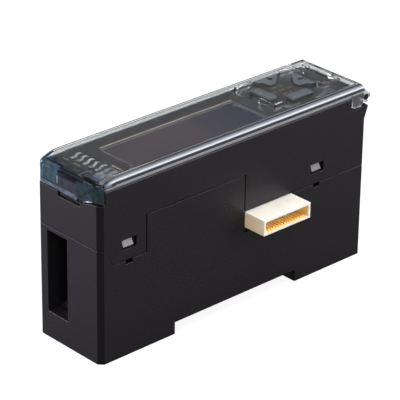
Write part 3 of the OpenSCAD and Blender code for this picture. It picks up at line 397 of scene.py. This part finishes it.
def soft_plastic(name, colour, rough=0.4, scatter=0.0, painted_glows=()):
    """Smooth plastic with slow colour change, and light that sinks in where scatter says so.
    A painted glow is a block, a warm colour painted there as light glowing in the plastic, and the
    x measures between which the colour deepens to it."""
    mat, tree, shader, place = start_material(name)
    slow = noise(tree, place, 3.0, 2.0)
    fine = noise(tree, place, 0.5)
    tone = two_tone(tree, slow, shade(colour, 0.95), shade(colour, 1.03))
    x = axes(tree, place)[0]
    for low, high, deep, pale_x, deep_x in painted_glows:
        depth = spread(tree, x, 0.0, 1.0, pale_x * MM, deep_x * MM)
        here = maths(tree, "MULTIPLY", inside(tree, place, low, high), depth)
        tone = blend_colours(tree, here, tone, deep)
    tree.links.new(tone, shader.inputs["Base Color"])
    tree.links.new(spread(tree, fine, rough - 0.05, rough + 0.05), shader.inputs["Roughness"])
    tree.links.new(bump(tree, fine, 0.006), shader.inputs["Normal"])
    if scatter:
        shader.inputs["Subsurface Weight"].default_value = scatter
        shader.inputs["Subsurface Radius"].default_value = (1.0, 0.7, 0.4)
        shader.inputs["Subsurface Scale"].default_value = 1.2 * MM
    return mat


# Materials of the part

CASE_TONE = srgb(19, 16, 20)
CASE_LOOK = dict(rough=0.42, grain=0.3, depth=0.045, specular=0.32, mottling=0.8, edge=0.2,
                 tint=(0.97, 0.93, 1.0, 1))
# Painted shade: the case's near front corner chamfer painted near black
CHAMFER_SHADE = ((8.56, 0.01, -0.1), (9.59, 1.04, 38.0), srgb(3, 3, 3))
# Painted highlights: the catch noses painted light grey, where their sloped faces catch the lamps
CATCH_NOSE_GLINTS = tuple(((8.96, y, 24.9), (9.8, y + 3.4, 27.0), glint_tone)
                    for y, glint_tone in ((6.1, srgb(122, 118, 123)), (60.3, srgb(102, 99, 104))))
THIN_LINE_LOOK = dict(grain=0.2, depth=0.002)
# Painted glow: the plug's hollow and its end face deepen to warm colours that stand in for light
# glowing in the ivory plastic
CONNECTOR_PAINTED_GLOWS = (
    ((4.0, 41.05, 19.05), (15.4, 53.95, 21.75), srgb(255, 216, 134), 15.5, 14.4),    # hollow
    ((9.5, 40.5, 18.0), (15.6, 40.64, 22.14), srgb(255, 226, 184), 18.0, 9.9),       # end face
)

case_black = moulded_plastic("case_black", CASE_TONE, painted_blocks=(CHAMFER_SHADE,), **CASE_LOOK)
case_with_nose_glints = moulded_plastic("case_with_nose_glints", CASE_TONE, painted_blocks=CATCH_NOSE_GLINTS + (CHAMFER_SHADE,),
                                  **CASE_LOOK)
cover_clear = clear_plastic("cover_clear")
# The panel's upright edges are painted lighter: painted light, as they show through the cover's
# skirt
panel_dark = moulded_plastic("panel_dark", srgb(56, 54, 60), rough=0.42, grain=0.3, depth=0.004,
                             mottling=0.05, side=srgb(144, 142, 146))
window_smoke = smoked_lens("window_smoke", srgb(80, 71, 79), srgb(52, 57, 78))
# The keys' upright sides are painted darker: painted shade between the keys and under the cover
key_grey = moulded_plastic("key_grey", srgb(104, 112, 122), rough=0.42, grain=0.3, depth=0.006,
                           mottling=0.06, edge=0.12, side=srgb(58, 60, 66))
mark_dark = moulded_plastic("mark_dark", srgb(44, 46, 50), grain=0.3, depth=0.004)
lamp_milky = milky_lens("lamp_milky", srgb(110, 116, 118), srgb(195, 201, 199))
window_milky = milky_lens("window_milky", srgb(56, 61, 68), srgb(144, 148, 153), grain=1.6)
ivory_painted_glow = soft_plastic("ivory_painted_glow", srgb(232, 226, 217), rough=0.38, scatter=0.5,
                           painted_glows=CONNECTOR_PAINTED_GLOWS)
gold = plated_metal("gold", srgb(255, 212, 118), rough=0.4, metallic=0.1)
socket_black = moulded_plastic("socket_black", srgb(22, 22, 25), rough=0.4, grain=0.25,
                               depth=0.006)
board_green = moulded_plastic("board_green", srgb(20, 74, 50), rough=0.3, grain=0.5, depth=0.004)
glass_dark = soft_plastic("glass_dark", srgb(24, 24, 32), rough=0.12)
switch_pale = soft_plastic("switch_pale", srgb(190, 190, 182))
resin_pale = soft_plastic("resin_pale", srgb(226, 222, 190), rough=0.25)
spring_wire = plated_metal("spring_wire", srgb(190, 190, 196), rough=0.28)
print_beige = moulded_plastic("print_beige", srgb(172, 148, 124), **THIN_LINE_LOOK)
# Painted highlights and reflections along the display window's edges, drawn as thin lines
edge_glint_grey = moulded_plastic("edge_glint_grey", srgb(140, 138, 146), rough=0.3, **THIN_LINE_LOOK)
edge_highlight_beige = moulded_plastic("edge_highlight_beige", srgb(214, 200, 176), rough=0.3, **THIN_LINE_LOOK)
edge_reflection_blue = moulded_plastic("edge_reflection_blue", srgb(150, 160, 172), rough=0.3, **THIN_LINE_LOOK)

FINISHES = {
    "lower_case": case_with_nose_glints, "upper_case": case_black, "rail_latch": case_black,
    "cover": cover_clear, "control_panel": panel_dark, "display_window": window_smoke,
    "display_module": glass_dark, "light_window": window_milky, "panel_board": board_green,
    "main_board": board_green, "key_switches": switch_pale, "indicator_leds": resin_pale,
    "board_header": socket_black, "sensor_socket": socket_black, "sensor_pins": gold,
    "link_plug": ivory_painted_glow, "link_contacts": gold, "link_socket": socket_black,
    "link_socket_contacts": gold, "latch_spring": spring_wire,
}
LIGHT_BARS = 5
for number in range(1, LIGHT_BARS + 1):
    FINISHES["light_bar_%d" % number] = lamp_milky
for key in ("far", "rear", "front", "near", "side_rear", "side_front"):
    FINISHES["key_" + key] = key_grey
for node_name, finish in FINISHES.items():
    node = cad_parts[node_name]
    node.data.materials.clear()
    node.data.materials.append(finish)


# Printed lines and painted highlight lines, as thin pieces

LINE_THICK = 0.02
CORNER_SHARE = 0.3    # the rounding of a line's edges, as a share of its width


def deselect():
    """Nothing is selected, in object mode."""
    if bpy.context.mode != "OBJECT":
        bpy.ops.object.mode_set(mode="OBJECT")
    bpy.ops.object.select_all(action="DESELECT")


def settle(piece, name, finish, body):
    """Puts the place in the mesh, and gives the piece its name, finish and body."""
    deselect()
    piece.select_set(True)
    bpy.context.view_layer.objects.active = piece
    bpy.ops.object.transform_apply(location=True, rotation=True, scale=True)
    piece.name = piece.data.name = name
    piece.data.materials.clear()
    piece.data.materials.append(finish)
    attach(piece, body)


def thin_line_strip(start, end, width, z):
    """One thin line between two x, y points, a thin plate with softened corners; it serves for
    print and for painted highlights.
    """
    a, b = Vector(start), Vector(end)
    middle = (a + b) / 2
    run = b - a
    deselect()
    bpy.ops.mesh.primitive_cube_add(size=1, location=bench(middle.x, middle.y, z + LINE_THICK / 2),
                                    rotation=(0, 0, math.atan2(run.y, run.x)))
    strip = bpy.context.object
    strip.scale = (run.length * MM, width * MM, LINE_THICK * MM)
    bpy.ops.object.transform_apply(location=False, rotation=False, scale=True)
    bevel = strip.modifiers.new("corners", "BEVEL")
    bevel.width = width * CORNER_SHARE * MM
    bevel.segments = 2
    bevel.affect = "EDGES"
    bpy.ops.object.modifier_apply(modifier=bevel.name)
    return strip


def join(parts):
    """Several objects as one."""
    deselect()
    for part in parts:
        part.select_set(True)
    bpy.context.view_layer.objects.active = parts[0]
    bpy.ops.object.join()
    return bpy.context.object


def print_and_highlight_lines(name, lines, width, z, finish, body="case"):
    """Several thin lines as one piece; it serves for print and for painted highlights."""
    strips = [thin_line_strip(start, end, width, z) for start, end in lines]
    settle(join(strips), name, finish, body)


PANEL_LINES = [((-7.1, 4.7), (-5.4, 4.7)), ((-3.75, 4.6), (-1.6, 4.65)), ((1.1, 1.75), (1.05, 4.5)),
               ((1.1, 1.8), (7.4, 1.85)), ((1.05, 4.4), (2.0, 4.6))]
PANEL_BAND = [((2.5, 9.35), (6.2, 9.3))]
REAR_KEY_MARK = [((6.5, 68.5), (6.9, 67.3)), ((6.9, 67.3), (7.5, 66.2)), ((7.5, 66.2), (7.6, 64.9))]
FRONT_KEY_MARK = [((7.3, 57.2), (7.2, 56.2)), ((7.2, 56.2), (6.6, 55.8))]
# Painted highlight and reflection lines along the display window's edges
WINDOW_RIM_HIGHLIGHT = [((-5.4, 12.9), (-5.4, 50.2))]
LENS_RIM_REFLECTION = [((-5.12, 13.1), (-5.12, 50.0))]
LENS_FRONT_GLINT = [((-5.1, 13.08), (7.1, 12.98))]
LENS_REAR_GLINT = [((-5.1, 49.95), (7.1, 49.95))]

# Plain ticks where small print would be: one row at the front, and three rows between the keys
FRONT_TICKS_X = (-5.4, -4.75, -4.1, -1.5, -0.85, -0.2, 2.2, 2.85)
FRONT_TICKS_Y = (2.5, 3.3)
KEY_TICK_ROWS = ((-4.1, 61.1, 64.2), (-2.1, 59.5, 66.0), (-0.1, 60.9, 63.6))    # x, from y, to y
TICK_PITCH = 0.55
TICK_REACH = 0.4
TICK_GROUP = 4    # the last place of each group stays empty

ticks = [((x, FRONT_TICKS_Y[0]), (x, FRONT_TICKS_Y[1])) for x in FRONT_TICKS_X]
for row_x, from_y, to_y in KEY_TICK_ROWS:
    for place in range(int((to_y - from_y) / TICK_PITCH) + 1):
        if place % TICK_GROUP != TICK_GROUP - 1:
            y = from_y + TICK_PITCH * place
            ticks.append(((row_x - TICK_REACH, y), (row_x + TICK_REACH, y)))

print_and_highlight_lines("panel_lines", PANEL_LINES, 0.34, PANEL_TOP, print_beige)
print_and_highlight_lines("panel_band", PANEL_BAND, 0.4, PANEL_TOP, print_beige)
print_and_highlight_lines("panel_ticks", ticks, 0.18, PANEL_TOP, print_beige)
print_and_highlight_lines("rear_key_mark", REAR_KEY_MARK, 0.4, KEY_TOP, mark_dark, "key_side_rear")
print_and_highlight_lines("front_key_mark", FRONT_KEY_MARK, 0.35, KEY_TOP, mark_dark, "key_side_front")
# Painted highlight and reflection lines along the display window's edges
print_and_highlight_lines("window_rim_highlight", WINDOW_RIM_HIGHLIGHT, 0.3, PANEL_TOP, edge_highlight_beige)
print_and_highlight_lines("lens_rim_reflection", LENS_RIM_REFLECTION, 0.16, LENS_TOP, edge_reflection_blue)
print_and_highlight_lines("lens_front_glint", LENS_FRONT_GLINT, 0.2, LENS_TOP, edge_glint_grey)
print_and_highlight_lines("lens_rear_glint", LENS_REAR_GLINT, 0.2, LENS_TOP, edge_glint_grey)


# Room and light

FLOOR_SIZE = 6
FLOOR_TONE = 0.15
FLOOR_GLOW = 0.87     # what the camera sees of the floor
ROOM_LEVEL = 0.13     # what the part sees of the room
ROOM_GLOW = 1.0       # what the camera sees of it


def white_to_camera(tree):
    """1 for what the camera sees, straight or through clear plastic, and 0 for bounced light."""
    path = tree.nodes.new("ShaderNodeLightPath")
    bounces = maths(tree, "ADD", path.outputs["Diffuse Depth"], path.outputs["Glossy Depth"])
    straight = maths(tree, "LESS_THAN", bounces, 0.5)
    through = maths(tree, "MULTIPLY", path.outputs["Is Transmission Ray"], straight)
    return maths(tree, "MAXIMUM", path.outputs["Is Camera Ray"], through)


def floor_white(name):
    """A matt floor that looks white to the camera and sends little light up."""
    mat, tree, shader = new_material(name)
    shader.inputs["Base Color"].default_value = (FLOOR_TONE, FLOOR_TONE, FLOOR_TONE, 1)
    shader.inputs["Roughness"].default_value = 0.9
    shader.inputs["Specular IOR Level"].default_value = 0.0
    shader.inputs["Emission Color"].default_value = WHITE
    glow = spread(tree, white_to_camera(tree), 0.0, FLOOR_GLOW, 0.0, 1.0)
    tree.links.new(glow, shader.inputs["Emission Strength"])
    return mat


def lay_floor():
    """The floor, under the soles."""
    deselect()
    bpy.ops.mesh.primitive_plane_add(size=FLOOR_SIZE, location=bench(0, CENTRE_Y, 0))
    floor = bpy.context.object
    floor.name = "floor"
    floor.data.materials.append(floor_white("floor_white"))


def light_room():
    """An even room round the part."""
    world = bpy.data.worlds.new("studio")
    bpy.context.scene.world = world
    world.use_nodes = True
    tree = world.node_tree
    background = tree.nodes["Background"]
    background.inputs["Color"].default_value = WHITE
    level = spread(tree, white_to_camera(tree), ROOM_LEVEL, ROOM_GLOW, 0.0, 1.0)
    tree.links.new(level, background.inputs["Strength"])


def soft_box(name, place, aim, width, height, level, colour=WHITE[:3]):
    """A soft box whose face is level times as bright as white; measures in metres."""
    data = bpy.data.lights.new(name, "AREA")
    data.shape = "RECTANGLE"
    data.size, data.size_y = width, height
    data.energy = level * math.pi * width * height
    data.color = colour
    lamp = bpy.data.objects.new(name, data)
    lamp.location = place
    lamp.rotation_euler = (Vector(aim) - Vector(place)).to_track_quat("-Z", "Y").to_euler()
    bpy.context.scene.collection.objects.link(lamp)


lay_floor()
light_room()
soft_box("top_box", (0.0, 0.0, 0.6), (0, 0, 0.02), 0.84, 0.8, 3.05)
soft_box("left_box", (-0.34, -0.34, 0.08), (0, -0.03, 0.01), 0.2, 0.24, 24.0, (0.92, 0.93, 1.0))
soft_box("right_box", (0.42, 0.42, 0.24), (0, 0.0, 0.02), 0.3, 0.5, 7.0)
soft_box("front_box", (-0.05, -0.55, 0.28), (0, 0.0, 0.02), 0.25, 0.25, 5.6)
soft_box("fill_box", (0.6, -0.3, 0.3), (0, 0.0, 0.02), 0.3, 0.3, 7.0)


# Camera, fitted to the photo

CAMERA_PLACE = (0.323276, -0.304046, 0.238501)
CAMERA_TURN = (63.7386, -0.7433, 47.3169)    # degrees
CAMERA_LENS = 207.3                          # mm, on a sensor 36 mm wide
CAMERA_SHIFT = (-0.0005, -0.0015)

camera_data = bpy.data.cameras.new("photo_camera")
camera_data.lens = CAMERA_LENS
camera_data.sensor_width = 36
camera_data.clip_start = 0.01
camera_data.shift_x, camera_data.shift_y = CAMERA_SHIFT
camera = bpy.data.objects.new("photo_camera", camera_data)
camera.location = CAMERA_PLACE
camera.rotation_euler = Euler([math.radians(angle) for angle in CAMERA_TURN])
bpy.context.scene.collection.objects.link(camera)
bpy.context.scene.camera = camera
bpy.context.scene.view_settings.view_transform = "Standard"
